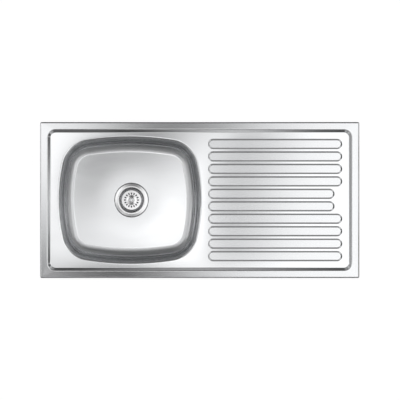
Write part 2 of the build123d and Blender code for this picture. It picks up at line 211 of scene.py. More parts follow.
# The bowl's plan is four shallow arcs with rounded corners. Each of its points is known by the direction of
# the outward normal there.
bowl_low, bowl_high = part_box("bowl")
bowl_x = (bowl_low.x + bowl_high.x) / 2
wall_half_length = (bowl_high.x - bowl_low.x) / 2 - sheet
wall_half_width = (bowl_high.y - bowl_low.y) / 2 - sheet
end_arc = 500.0 * mm
side_arc = 815.0 * mm
bowl_corner = 82.0 * mm
end_points, corner_points, side_points = 10, 20, 12
end_centre = np.array((wall_half_length - end_arc, 0))
side_centre = np.array((0, wall_half_width - side_arc))


def corner_centre():
    """Centre of the bowl's corner arc: where the two side arcs, shrunk by the corner's radius, meet."""
    along = end_centre - side_centre
    span = np.linalg.norm(along)
    to_side, to_end = side_arc - bowl_corner, end_arc - bowl_corner
    reach = (to_side**2 - to_end**2 + span**2) / (2 * span)
    rise = math.sqrt(to_side**2 - reach**2)
    return side_centre + (reach * along + rise * np.array((along[1], -along[0]))) / span


bowl_corner_centre = corner_centre()
from_end = math.atan2(*(bowl_corner_centre - end_centre)[::-1])
from_side = math.atan2(*(bowl_corner_centre - side_centre)[::-1])
quarter = np.concatenate((
    np.linspace(0, from_end, end_points),
    np.linspace(from_end, from_side, corner_points)[1:],
    np.linspace(from_side, np.pi / 2, side_points)[1:],
))
half_turn = np.concatenate((quarter, np.pi - quarter[-2::-1]))
bowl_normal = np.concatenate((half_turn[:-1], np.pi + half_turn[:-1]))


def bowl_rings(grow, height):
    """The bowl's plan grown outwards along its normals, one ring for each growth and height."""
    folded = np.abs((bowl_normal + np.pi / 2) % np.pi - np.pi / 2)
    in_end = (folded < from_end)[:, None]
    in_side = (folded > from_side)[:, None]
    centre = np.where(in_end, end_centre, np.where(in_side, side_centre, bowl_corner_centre))
    radius = np.where(in_end, end_arc, np.where(in_side, side_arc, bowl_corner))[:, 0]
    x = np.sign(np.cos(bowl_normal)) * (centre[:, 0] + radius * np.cos(folded))
    y = np.sign(np.sin(bowl_normal)) * (centre[:, 1] + radius * np.sin(folded))
    ring_x = bowl_x + x + grow[:, None] * np.cos(bowl_normal)
    ring_y = y + grow[:, None] * np.sin(bowl_normal)
    return grid(ring_x, ring_y, height[:, None])


def lip_rings(depth):
    """Lip round the bowl's hole: a gentle shoulder, then a tight roll down to the weld, sunk by depth."""
    shoulder = lip_shoulder + depth * math.tan(lip_shoulder_tilt / 2)
    fall = (shoulder - depth) * math.tan(lip_shoulder_tilt)
    profile = rounded_path(
        [
            (lip_width, deck - depth),
            (shoulder, deck - depth),
            (depth, deck - depth - fall),
            (depth, weld_level),
        ],
        [lip_shoulder_bend - depth, lip_roll - depth],
        steps=10,
    )
    return bowl_rings(profile[:, 0], profile[:, 1])


rib_count = 10
rib_pitch = 36.67 * mm
rib_width = 29.97 * mm
rib_height = 3.0 * mm
rib_slope = math.radians(38)
rib_foot_bend = 1.5 * mm
rib_head_bend = 2.0 * mm
rib_start = 24.4 * mm
rib_end = 419.0 * mm
middle_rib_shortening = 22.5 * mm
rib_top_inset = 8.0 * mm


def rib_rings(index, depth, steps=14):
    """One raised rib: ovals of two half circles, from the field up to its flat top, sunk by depth."""
    shift = depth * math.tan(rib_slope / 2)
    run = rib_height / math.tan(rib_slope)
    profile = rounded_path(
        [
            (rib_foot_bend, deck - depth),
            (-shift, deck - depth),
            (-shift - run, deck + rib_height - depth),
            (-rib_top_inset, deck + rib_height - depth),
        ],
        [rib_foot_bend + depth, rib_head_bend - depth],
        steps=6,
    )
    is_middle = index in ((rib_count - 1) // 2, rib_count // 2)
    end = rib_end - (middle_rib_shortening if is_middle else 0)
    angle = np.linspace(-np.pi / 2, np.pi / 2, steps + 1) + np.arange(2)[:, None] * np.pi
    centre = np.array((end - rib_width / 2, rib_start + rib_width / 2))[:, None]
    radius = rib_width / 2 + profile[:, 0, None, None]
    x = centre + radius * np.cos(angle)
    y = (index - (rib_count - 1) / 2) * rib_pitch + radius * np.sin(angle)
    return grid(x, y, profile[:, 1, None, None]).reshape(len(profile), -1, 3)


def field(outer, *holes):
    """Flat field inside one ring and round others, cut into triangles that face up."""
    loops = [outer, *holes]
    points = np.vstack(loops)
    triangles = np.array(tessellate_polygon([loop.tolist() for loop in loops]))
    first, second, third = (points[triangles[:, corner], :2] for corner in range(3))
    upward = np.cross(second - first, third - first) > 0
    return points, np.where(upward[:, None], triangles, triangles[:, ::-1]).tolist()


def pressed_face(depth):
    """One face of the pressed top, upper at depth nought and lower at the sheet's thickness."""
    border = border_rings(depth)
    lip = lip_rings(depth)
    ribs = [rib_rings(index, depth) for index in range(rib_count)]
    caps = [(rib[-1], [list(range(rib.shape[1]))]) for rib in ribs]
    flat = field(border[-1], lip[0], *[rib[0] for rib in ribs])
    return border, lip, [skin(border), skin(lip), *[skin(rib) for rib in ribs], *caps, flat]


def connect(tree, socket, value):
    """Gives a socket its value: another node's output as a link, anything else as a fixed value."""
    if isinstance(value, bpy.types.NodeSocket):
        tree.links.new(value, socket)
    else:
        socket.default_value = value


def add_node(tree, kind, settings=None, **inputs):
    """Outputs of a new shader node of one kind, with its settings, and its inputs by name or by number."""
    node = tree.nodes.new(kind)
    for key, value in (settings or {}).items():
        setattr(node, key, value)
    for key, value in inputs.items():
        place = int(key.removeprefix("input")) if key.startswith("input") else key.replace("_", " ")
        connect(tree, node.inputs[place], value)
    return node.outputs


def arithmetic(tree, operation, first, second=0.0):
    """Sum, product or other result of two values."""
    return add_node(tree, "ShaderNodeMath", {"operation": operation}, input0=first, input1=second)[0]


def vectors(tree, operation, first, second=(0, 0, 0)):
    """Outputs of an operation on two vectors."""
    return add_node(tree, "ShaderNodeVectorMath", {"operation": operation}, input0=first, input1=second)


def ramp(tree, value, start, end):
    """Smooth step from nought to one as the value goes from start to end."""
    smooth = {"interpolation_type": "SMOOTHSTEP"}
    return add_node(tree, "ShaderNodeMapRange", smooth, Value=value, From_Min=start, From_Max=end)[0]


def spread(tree, noise, low, high):
    """Value that goes from low to high over the middle part of a noise's range."""
    middle = {"From_Min": 0.3, "From_Max": 0.7}
    return add_node(tree, "ShaderNodeMapRange", Value=noise, To_Min=low, To_Max=high, **middle)[0]


def mixed(tree, share, first, second):
    """Value between two others, by a share from nought to one."""
    return add_node(tree, "ShaderNodeMix", Factor=share, input2=first, input3=second)[0]


def tinted(tree, share, first, second):
    """Colour between two others, by a share from nought to one."""
    colours = {"data_type": "RGBA"}
    return add_node(tree, "ShaderNodeMix", colours, Factor=share, input6=first, input7=second)[2]


def cloudy(tree, place, scale, detail, **more):
    """Noise of some scale and detail at a place."""
    return add_node(tree, "ShaderNodeTexNoise", Vector=place, Scale=scale, Detail=detail, **more)["Fac"]


def new_finish(name):
    """Node tree of a new material, which is kept under its name and holds a Principled shader."""
    finishes[name] = bpy.data.materials.new(name)
    finishes[name].use_nodes = True
    return finishes[name].node_tree


def own_place(tree):
    """Place of each point in its object's own frame."""
    return add_node(tree, "ShaderNodeTexCoord")["Object"]


def set_finish(tree, colour, relief, roughness, strength, distance, metallic=0.0):
    """Gives the shader its colour, roughness and share of metal, and the bumps of a relief."""
    bump = add_node(tree, "ShaderNodeBump", Strength=strength, Distance=distance, Height=relief)[0]
    values = {"Base Color": colour, "Roughness": roughness, "Metallic": metallic, "Normal": bump}
    for name, value in values.items():
        connect(tree, tree.nodes["Principled BSDF"].inputs[name], value)


def brushing_group():
    """Brushed grain: noise stretched along X into hair lines, a coarser noise for their uneven density."""
    tree = bpy.data.node_groups.new("brushed_grain", "ShaderNodeTree")
    for name, way, kind in (
        ("Coordinate", "INPUT", "NodeSocketVector"),
        ("Fineness", "INPUT", "NodeSocketFloat"),
        ("Lines", "OUTPUT", "NodeSocketFloat"),
        ("Patches", "OUTPUT", "NodeSocketFloat"),
    ):
        tree.interface.new_socket(name, in_out=way, socket_type=kind)
    given = add_node(tree, "NodeGroupInput")
    result = tree.nodes.new("NodeGroupOutput").inputs
    narrow = add_node(tree, "ShaderNodeMapping", Vector=given["Coordinate"], Scale=(0.03, 1, 1))[0]
    wide = add_node(tree, "ShaderNodeMapping", Vector=given["Coordinate"], Scale=(0.35, 1, 1))[0]
    connect(tree, result["Lines"], cloudy(tree, narrow, scale=given["Fineness"], detail=3.0))
    connect(tree, result["Patches"], cloudy(tree, wide, scale=22.0, detail=4.0))
    return tree


brushed_grain = brushing_group()
buffed_roughness = 0.1
satin_roughness = 0.16
wall_roughness = 0.2
foot_roughness = 0.33
floor_roughness = 0.14
mill_roughness = 0.42
satin_dark = (0.764, 0.772, 0.784, 1)
satin_pale = (0.802, 0.81, 0.822, 1)
buffed_colour = (0.852, 0.86, 0.872, 1)
# Dark grey for the outside of the bowl: partly a dull mill finish, partly painted shade that dims the floor's
# reflection
mill_and_painted_shade_colour = (0.44, 0.44, 0.45, 1)


def sheet_steel():
    """Stainless sheet: brushed to a satin on raised faces and on the bowl's wall, buffed on the field and on
    the bowl's floor, and dull outside the bowl, where faces turn away from its middle. That dark grey is
    partly an unpolished mill finish and partly painted shade, which dims the pale floor's reflection in the
    steel."""
    tree = new_finish("stainless_sheet")
    place = own_place(tree)
    brushing = {"node_tree": brushed_grain}
    grain = add_node(tree, "ShaderNodeGroup", brushing, Coordinate=place, Fineness=1800.0)
    height = add_node(tree, "ShaderNodeSeparateXYZ", Vector=place)["Z"]
    raised = ramp(tree, height, deck + 0.5 * mm, deck + 2.4 * mm)
    sunk = ramp(tree, height, deck - 20 * mm, deck - 130 * mm)
    at_foot = ramp(tree, height, floor_level + 16 * mm, floor_level + 3 * mm)
    at_floor = ramp(tree, height, floor_level + 0.3 * mm, floor_level + 0.01 * mm)
    pressed = mixed(tree, raised, buffed_roughness, satin_roughness)
    wall = mixed(tree, at_foot, wall_roughness, foot_roughness)
    even = mixed(tree, sunk, pressed, mixed(tree, at_floor, wall, floor_roughness))
    patches = spread(tree, grain["Patches"], -0.01, 0.015)
    lines = spread(tree, grain["Lines"], -0.01, 0.01)
    inside = arithmetic(tree, "ADD", even, arithmetic(tree, "ADD", patches, lines))
    from_field = arithmetic(tree, "ABSOLUTE", arithmetic(tree, "SUBTRACT", height, deck))
    on_field = ramp(tree, from_field, 1.6 * mm, 0.5 * mm)
    colour = tinted(tree, on_field, tinted(tree, grain["Lines"], satin_dark, satin_pale), buffed_colour)
    from_middle = vectors(tree, "SUBTRACT", place, (bowl_x, 0.0, (deck + floor_level) / 2))[0]
    facing = add_node(tree, "ShaderNodeNewGeometry")["Normal"]
    turned_out = arithmetic(tree, "GREATER_THAN", vectors(tree, "DOT_PRODUCT", from_middle, facing)["Value"])
    below_field = arithmetic(tree, "LESS_THAN", height, deck - 8 * mm)
    outside = arithmetic(tree, "MULTIPLY", turned_out, below_field)
    # Outside the bowl the colour turns dark grey: partly the dull mill finish, partly painted shade against
    # the pale floor's reflection
    shown = tinted(tree, outside, colour, mill_and_painted_shade_colour)
    rough = mixed(tree, outside, inside, mill_roughness)
    set_finish(
        tree, shown, grain["Lines"], roughness=rough, strength=0.025, distance=0.05 * mm, metallic=1.0,
    )


sheet_steel()
upper_border, upper_lip, upper_face = pressed_face(0)
lower_border, lower_lip, lower_face = pressed_face(sheet)
fold_edge = skin(np.stack((lower_border[0], upper_border[0])))
collar_edge = skin(np.stack((upper_lip[-1], lower_lip[-1])))
top_surfaces = [*upper_face, *[turned_over(surface) for surface in lower_face], fold_edge, collar_edge]
make_piece("pressed_top", top_surfaces, "stainless_sheet", "sink", "drainboard_top")

# Bowl. Deep-drawn from the same sheet and butt-welded to the lip, with the weld ground and polished away.
# Its sides lean in by a few degrees, and its floor dishes gently to a recess for the waste's flange.
wall_draft = math.radians(3)
bottom_radius = 34.0 * mm
fillet_margin = 1.05
dish_radius = 95.0 * mm
dish_margin = 1.25
dish_drop = 0.6 * mm
dish_bend = 3400.0 * mm
recess_radius = 50.0 * mm
recess_edge_bend = 1.6 * mm
waste_hole_radius = 39.2 * mm
seat_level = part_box("flange_seal")[0].z
dish_level = floor_level - dish_drop
waste_low, waste_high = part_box("strainer_body")
waste_axis = ((waste_low.x + waste_high.x) / 2, 0.0)


def bearings(count):
    """Evenly spaced bearings once round an axis."""
    return np.arange(count) * (2 * np.pi / count)


def about_axis(axis, radius, bearing, height):
    """Points at a radius, a bearing and a height about an upright axis."""
    return grid(axis[0] + radius * np.cos(bearing), axis[1] + radius * np.sin(bearing), height)


full_turn = bearings(128)


def turned(profile, bearing=full_turn, axis=waste_axis):
    """Surface of revolution: each profile point, a radius and a height, goes once round an upright axis."""
    return about_axis(axis, profile[:, :1], bearing, profile[:, 1:])


def bowl_face(depth):
    """One face of the bowl, inner at depth nought and outer at the sheet's thickness: wall, bottom fillet and
    floor, then rings about the waste's axis that take up the plan's columns at their own bearing."""
    foot = depth - (weld_level - floor_level + depth) * math.tan(wall_draft)
    fillet_end = foot - fillet_margin * bottom_radius
    wall = rounded_path(
        [(depth, weld_level), (foot, floor_level - depth), (fillet_end, floor_level - depth)],
        [bottom_radius + depth],
        steps=28,
    )
    sides = bowl_rings(wall[:, 0], wall[:, 1])
    bearing = np.arctan2(sides[-1, :, 1], sides[-1, :, 0] - waste_axis[0])
    dish = rounded_path(
        [
            (dish_margin * dish_radius, floor_level - depth),
            (dish_radius, floor_level - depth),
            (recess_radius + depth, dish_level - depth),
            (recess_radius + depth, seat_level - depth),
            (waste_hole_radius, seat_level - depth),
        ],
        [dish_bend, recess_edge_bend + depth, recess_edge_bend / 2 + depth],
    )
    return np.concatenate((sides, turned(dish, bearing)))


inner_bowl = bowl_face(0)
outer_bowl = bowl_face(sheet)
weld_edge = skin(np.stack((outer_bowl[0], inner_bowl[0])))
hole_edge = skin(np.stack((inner_bowl[-1], outer_bowl[-1])))
bowl_surfaces = [skin(inner_bowl), turned_over(skin(outer_bowl)), weld_edge, hole_edge]
make_piece("drawn_bowl", bowl_surfaces, "stainless_sheet", "sink", "bowl")

# Rim seal. Self-adhesive foam strip in four lengths, stuck under the border along its front, back and ends.
# It is squeezed between the sheet and the worktop, and cut square where the lengths meet.
seal_inset = 4.0 * mm
seal_width = 5.5 * mm
seal_joint_gap = 0.5 * mm
foam_bend = 0.7 * mm
foam_swell = 0.04
foam_waves = (17 * mm, 41 * mm)


def under_border(inset):
    """Height of the border's underside, which falls gently to the sink's edge."""
    return rim_top - sheet - border_fall * (1 - inset / border_width)


def capped(points):
    """A grid of closed rows as one surface, with a flat face on its first and its last row."""
    rows, columns = points.shape[:2]
    last = (rows - 1) * columns
    ends = [list(range(columns))[::-1], list(range(last, last + columns))]
    return points.reshape(-1, 3), grid_faces(rows, columns) + ends


def seal_strip(start, end, rows=60):
    """One length of foam: its section, a rounded block with a sloping top, goes from start to end with the
    outside of the sink on its right, and a slow wave lets its sides swell and narrow a little."""
    section = rounded_path(
        [
            (0, 0),
            (seal_width / 2, 0),
            (seal_width / 2, under_border(seal_inset)),
            (-seal_width / 2, under_border(seal_inset + seal_width)),
            (-seal_width / 2, 0),
            (0, 0),
        ],
        [foam_bend] * 4,
        steps=4,
    )[:-1]
    start, end = np.asarray(start), np.asarray(end)
    along = (end - start) / np.linalg.norm(end - start)
    distance = np.linspace(0, np.linalg.norm(end - start), rows)[:, None]
    wave = np.sin(distance / foam_waves[0]) * np.sin(distance / foam_waves[1])
    outward = (1 - foam_swell * (1 + wave)) * section[:, 0]
    x = start[0] + distance * along[0] + outward * along[1]
    y = start[1] + distance * along[1] - outward * along[0]
    return capped(grid(x, y, section[:, 1]))


def cellular_foam():
    """Closed-cell foam: dark grey, with small round cells that dent its surface."""
    tree = new_finish("grey_foam")
    place = own_place(tree)
    cells = add_node(tree, "ShaderNodeTexVoronoi", Vector=place, Scale=1400.0)["Distance"]
    patches = cloudy(tree, place, scale=90.0, detail=3.0)
    tone = tinted(tree, patches, (0.07, 0.072, 0.076, 1), (0.14, 0.142, 0.148, 1))
    set_finish(tree, tone, cells, roughness=0.85, strength=0.5, distance=0.3 * mm)


seal_x = half_length - seal_inset - seal_width / 2
seal_y = half_width - seal_inset - seal_width / 2
side_end = half_length - seal_inset
end_end = half_width - seal_inset - seal_width - seal_joint_gap
seal_strips = [
    seal_strip((-side_end, -seal_y), (side_end, -seal_y)),
    seal_strip((seal_x, -end_end), (seal_x, end_end)),
    seal_strip((side_end, seal_y), (-side_end, seal_y)),
    seal_strip((-seal_x, end_end), (-seal_x, -end_end)),
]
cellular_foam()
make_piece("foam_strips", seal_strips, "grey_foam", "sink", "rim_seal")

# Sound pads. Two die-cut pads of heavy bitumen felt, glued under the bowl's floor beside the waste to deaden
# it. The lower face is embossed with a waffle so that the pad bends to the sheet.
pads_low, pads_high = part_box("sound_pads")
pad_length = 44.0 * mm
pad_corner = 8.0 * mm
pad_edge = 1.5 * mm
waffle_pitch = 7.0 * mm
waffle_depth = 0.5 * mm
groove_start = 0.55
groove_bottom = 0.95


def rising(value, start, end):
    """Smooth step from nought to one as the value goes from start to end."""
    share = np.clip((value - start) / (end - start), 0, 1)
    return share * share * (3 - 2 * share)


def sound_pad(middle_x, rows=121, across=41):
    """One pad: rows along Y, each a closed loop across the embossed lower face and back over the upper face.
    The lower face dips along two crossing families of grooves, and half widths follow the rounded corners."""
    half_y = (pads_high.y - pads_low.y) / 2
    y = np.linspace(-half_y, half_y, rows)[:, None]
    into_corner = np.maximum(np.abs(y) - (half_y - pad_corner), 0)
    half_x = pad_length / 2 - pad_corner + np.sqrt(np.maximum(pad_corner**2 - into_corner**2, 0))
    x = half_x * np.linspace(-1, 1, across)
    edge = np.minimum(pad_length / 2 - np.abs(x), half_y - np.abs(y))
    grooves = np.maximum(np.cos(2 * np.pi * x / waffle_pitch), np.cos(2 * np.pi * y / waffle_pitch))
    dip = rising(grooves, groove_start, groove_bottom)
    relief = waffle_depth * dip + waffle_depth * (1 - rising(edge, 0, pad_edge))
    lower = grid(middle_x + x, y, pads_low.z + relief)
    upper = grid(middle_x - x, y, pads_high.z)
    return capped(np.concatenate((lower, upper), axis=1))


def bitumen_felt():
    """Bitumen felt: near black and matt, with grit of two sizes."""
    tree = new_finish("sound_pad")
    place = own_place(tree)
    grit = cloudy(tree, place, scale=700.0, detail=6.0, Roughness=0.7)
    patches = cloudy(tree, place, scale=45.0, detail=4.0)
    tone = tinted(tree, patches, (0.018, 0.018, 0.02, 1), (0.05, 0.05, 0.052, 1))
    set_finish(tree, tone, grit, roughness=0.75, strength=0.6, distance=0.2 * mm)


pad_places = (pads_low.x + pad_length / 2, pads_high.x - pad_length / 2)
sound_pads = [sound_pad(middle) for middle in pad_places]
bitumen_felt()
make_piece("bitumen_pads", sound_pads, "sound_pad", "sink", "sound_pads")

# Clip brackets. Zinc-plated strip bent twice: the flange is spot-welded under the border, the web hangs down,
# and the foot has a hole for the clip's screw. Eight stand round the sink.
clip_inset = 22.0 * mm
clip_span = 330.0 * mm
clip_x = half_length - clip_inset
clip_y = half_width - clip_inset
clip_places = {
    f"{side}_{name}": (x, out * clip_y, 0, out)
    for side, out in (("front", -1), ("back", 1))
    for name, x in (("left", -clip_span), ("middle", 0), ("right", clip_span))
}
clip_places |= {"left_end": (-clip_x, 0, -1, 0), "right_end": (clip_x, 0, 1, 0)}
bracket_low, bracket_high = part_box("clip_brackets")
strip_sheet = 1.5 * mm
strip_width = 20.0 * mm
strip_bend = 2.0 * mm
strip_bevel = 0.25 * mm
web_out = 8.25 * mm
flange_in = 1.0 * mm
foot_in = 8.0 * mm
foot_join = 5.2 * mm
foot_hole = 3.3 * mm
least_slant = 1e-6


def polar(radius, bearing):
    """Points of a plan at a radius on each bearing."""
    return np.stack((radius * np.cos(bearing), radius * np.sin(bearing)), axis=1)


def set_in(place, across, out, height):
    """Points of a clip's own frame in the sink's frame: across the clip, out of the sink, and up."""
    x, y, out_x, out_y = place
    return grid(x + across * out_y + out * out_x, y - across * out_x + out * out_y, height)


def bent_strip(place, corners, bends, thickness, width):
    """Bent strip: a bevelled rectangle, its section, carried along the strip's middle line."""
    line = rounded_path(corners, bends, steps=6)
    run = np.gradient(line, axis=0)
    run /= np.linalg.norm(run, axis=1)[:, None]
    half_w, half_t = width / 2, thickness / 2
    corner = np.array([(half_w, half_t - strip_bevel), (half_w - strip_bevel, half_t)])
    loop = np.vstack((corner, corner[::-1] * (-1, 1), -corner, corner[::-1] * (1, -1)))
    out = line[:, :1] - loop[:, 1] * run[:, 1:]
    height = line[:, 1:] + loop[:, 1] * run[:, :1]
    return capped(set_in(place, loop[:, 0], out, height))


def plate(place, edge, hole, low, high):
    """Flat plate about a clip's axis: rings go up its bevelled edge, in over the top to the hole, down the
    hole and back out below."""
    direction = edge / np.linalg.norm(edge, axis=1)[:, None]
    bevelled_edge = edge - strip_bevel * direction
    bore = hole * direction
    bevelled_bore = (hole + strip_bevel) * direction
    rings = [
        (edge, low + strip_bevel), (edge, high - strip_bevel),
        (bevelled_edge, high), (bevelled_bore, high),
        (bore, high - strip_bevel), (bore, low + strip_bevel),
        (bevelled_bore, low), (bevelled_edge, low),
        (edge, low + strip_bevel),
    ]
    plan = np.stack([outline for outline, _ in rings])
    height = np.array([level for _, level in rings])[:, None]
    return skin(set_in(place, plan[..., 0], plan[..., 1], height))


def foot_edge(columns=48):
    """Outline of a bracket's foot about its hole: on each bearing the nearer of the side and the end."""
    half = strip_width / 2
    corners = [math.atan2(out, side * half) for out in (-foot_in, foot_join) for side in (1, -1)]
    bearing = np.sort(np.concatenate((np.linspace(-np.pi, np.pi, columns, endpoint=False), corners)))
    to_side = half / np.maximum(np.abs(np.cos(bearing)), least_slant)
    sine = np.sin(bearing)
    to_end = np.where(sine > 0, foot_join, foot_in) / np.maximum(np.abs(sine), least_slant)
    return polar(np.minimum(to_side, to_end), bearing)


def zinc_plate():
    """Zinc plating: bluish grey, half bright, with a faint spangle and dull patches."""
    tree = new_finish("zinc_plated_steel")
    place = own_place(tree)
    spangle = add_node(tree, "ShaderNodeTexVoronoi", Vector=place, Scale=420.0)["Distance"]
    dull = cloudy(tree, place, scale=160.0, detail=4.0)
    tone = tinted(tree, spangle, (0.56, 0.58, 0.61, 1), (0.68, 0.69, 0.7, 1))
    rough = spread(tree, dull, 0.26, 0.42)
    set_finish(tree, tone, dull, roughness=rough, strength=0.08, distance=0.1 * mm, metallic=1.0)


zinc_plate()
flange_middle = bracket_high.z - strip_sheet / 2
foot_middle = bracket_low.z + strip_sheet / 2
bracket_line = [
    (flange_in, flange_middle), (web_out, flange_middle),
    (web_out, foot_middle), (foot_join - strip_sheet, foot_middle),
]
bracket_parts = [
    surface
    for place in clip_places.values()
    for surface in (
        bent_strip(place, bracket_line, [strip_bend] * 2, strip_sheet, strip_width),
        plate(place, foot_edge(), foot_hole, bracket_low.z, bracket_low.z + strip_sheet),
    )
]
make_piece("bent_brackets", bracket_parts, "zinc_plated_steel", "sink", "clip_brackets")

# Clip nuts. Pressed hexagon nuts of zinc-plated steel with chamfered corners, one to each bracket.
# They are welded on top of the brackets' feet, over the holes, and carry the clips' screws.
nuts_low, nuts_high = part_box("clip_nuts")
hexagon = 6
clip_nut_apothem = 5.0 * mm
clip_nut_bore = 3.05 * mm
bore_chamfer = 0.35 * mm
face_share = 0.96
chamfer_angle = math.radians(30)


def faceted_rows(sides, apothem, low, high, axis, columns=8, steps=5):
    """Side of a nut: a polygon's radius on each bearing, cut back near both ends by a cone that starts a
    little inside the flats, row by row from the bottom up."""
    bearing = bearings(sides * columns) + np.pi / 2
    from_flat = (bearing - np.pi / 2) % (2 * np.pi / sides) - np.pi / sides
    polygon = apothem / np.cos(from_flat)
    reach = (polygon.max() - face_share * apothem) * math.tan(chamfer_angle)
    rise = np.linspace(0, reach, steps)[:, None]
    cut = np.minimum(polygon, face_share * apothem + rise / math.tan(chamfer_angle))
    radius = np.vstack((cut, cut[::-1]))
    height = np.vstack((low + rise, high - rise[::-1]))
    return about_axis(axis, radius, bearing, height), bearing


def nut(sides, apothem, low, high, axis, inside):
    """A nut: its side, then the profile inside it from the top down, closed back on the side's first row."""
    side, bearing = faceted_rows(sides, apothem, low, high, axis)
    return skin(np.concatenate((side, turned(np.asarray(inside), bearing, axis), side[:1])))


def plain_bore(radius, low, high):
    """Profile of a plain bore from the top down, with a small chamfer at both ends."""
    return [
        (radius + bore_chamfer, high), (radius, high - bore_chamfer),
        (radius, low + bore_chamfer), (radius + bore_chamfer, low),
    ]


clip_bore = plain_bore(clip_nut_bore, nuts_low.z, nuts_high.z)
clip_nuts = [
    nut(hexagon, clip_nut_apothem, nuts_low.z, nuts_high.z, place[:2], clip_bore)
    for place in clip_places.values()
]
make_piece("weld_nuts", clip_nuts, "zinc_plated_steel", "sink", "clip_nuts")

# Clip screws and claws. Each hexagon-head screw hangs from its nut and lifts a claw, a bent piece of thick
# strip with a hole at one end and a tooth at the other, which swings out under the worktop and grips it.
# All are zinc-plated.
screw_radius = 3.0 * mm
screw_head_height = 4.0 * mm
screw_pitch = 1.0 * mm
screw_thread_depth = 0.4 * mm
claw_hub_radius = 7.0 * mm
claw_hole = 3.1 * mm
claw_width = 12.0 * mm
claw_sheet = 2.5 * mm
claw_arm_start = 4.5 * mm
claw_reach = 21.0 * mm
claw_bend = 2.2 * mm
hub_columns = 40


def threaded(points, low, high, axis, pitch, depth):
    """Cuts a thread into a turned surface: between two heights each point moves in towards the axis by depth
    times a triangle wave of its height over the pitch less its bearing, which runs out at both ends."""
    offset = points[..., :2] - axis
    turn = np.arctan2(offset[..., 1], offset[..., 0]) / (2 * np.pi)
    height = points[..., 2]
    wave = 2 * np.abs((height / pitch - turn) % 1 - 0.5)
    ends = np.clip(np.minimum(height - low, high - height) / pitch, 0, 1)
    radius = np.linalg.norm(offset, axis=-1)
    shrink = 1 - depth * wave * ends / np.maximum(radius, depth)
    return np.concatenate((offset * shrink[..., None] + axis, points[..., 2:]), axis=-1)


def straight(start, end, count):
    """Evenly spaced points of a straight run between two profile points, without its two ends."""
    share = np.linspace(0, 1, count + 2)[1:-1, None]
    return np.asarray(start) * (1 - share) + np.asarray(end) * share


def clip_screw(axis, low, high, rows=216, columns=24):
    """One screw: a chamfered hexagon head closed by a flat face on each side, and a shank with a thread up
    its length."""
    head_top = low + screw_head_height
    head, _ = faceted_rows(hexagon, clip_nut_apothem, low, head_top, axis)
    tip = screw_radius / 4
    shank = np.vstack((
        [(0, head_top - tip), (screw_radius, head_top - tip)],
        straight((screw_radius, head_top - tip), (screw_radius, high - tip), rows),
        [(screw_radius - tip, high), (0, high)],
    ))
    bar = turned(shank, bearings(columns), axis)
    thread = threaded(bar, head_top + claw_sheet, high, axis, screw_pitch, screw_thread_depth)
    return [capped(head), skin(thread)]


hub_edge = polar(claw_hub_radius, bearings(hub_columns))
for clip, place in clip_places.items():
    screw_low, screw_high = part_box(f"clip_screw_{clip}")
    screw_parts = clip_screw(place[:2], screw_low.z, screw_high.z)
    make_piece(f"screw_{clip}", screw_parts, "zinc_plated_steel", f"screw_{clip}", f"clip_screw_{clip}")
    claw_low, claw_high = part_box(f"clip_claw_{clip}")
    arm_middle = claw_low.z + claw_sheet / 2
    tooth_middle = claw_reach - claw_sheet / 2
    arm_line = [(claw_arm_start, arm_middle), (tooth_middle, arm_middle), (tooth_middle, claw_high.z)]
    arm_place = (place[0], place[1], place[3], -place[2])
    claw_parts = [
        plate(place, hub_edge, claw_hole, claw_low.z, claw_low.z + claw_sheet),
        bent_strip(arm_place, arm_line, [claw_bend], claw_sheet, claw_width),
    ]
    make_piece(f"claw_{clip}", claw_parts, "zinc_plated_steel", f"claw_{clip}", f"clip_claw_{clip}")

# Strainer body. Pressed and turned stainless steel in one: a crowned flange in the bowl's recess, a throat
# and a cup with a thread outside for the lock nut, then a threaded outlet with a cross of spokes for the
# basket's peg.
flange_radius = (waste_high.x - waste_low.x) / 2
flange_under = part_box("flange_seal")[1].z
flange_edge = 2.0 * mm
flange_edge_bend = 0.4 * flange_edge
flange_top = waste_high.z
throat_radius = 35.5 * mm
throat_bend = 3.0 * mm
crown_width = 6.0 * mm
cup_outer_radius = 38.0 * mm
cup_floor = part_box("stopper")[0].z
cup_floor_wall = 3.0 * mm
cup_floor_bend = 1.2 * mm
outlet_end = waste_low.z
outlet_bore = 19.5 * mm
outlet_bend = 0.5 * mm
outlet_thread_radius = 23.9 * mm
thread_pitch = 2.0 * mm
thread_depth = 0.7 * mm
thread_margin = 4 * mm
spoke_width = 3.0 * mm
spoke_height = 5.0 * mm
spoke_bend = spoke_width / 4
spoke_hub_radius = 7.0 * mm
spoke_top = cup_floor - 15.0 * mm
peg_bore = 3.1 * mm


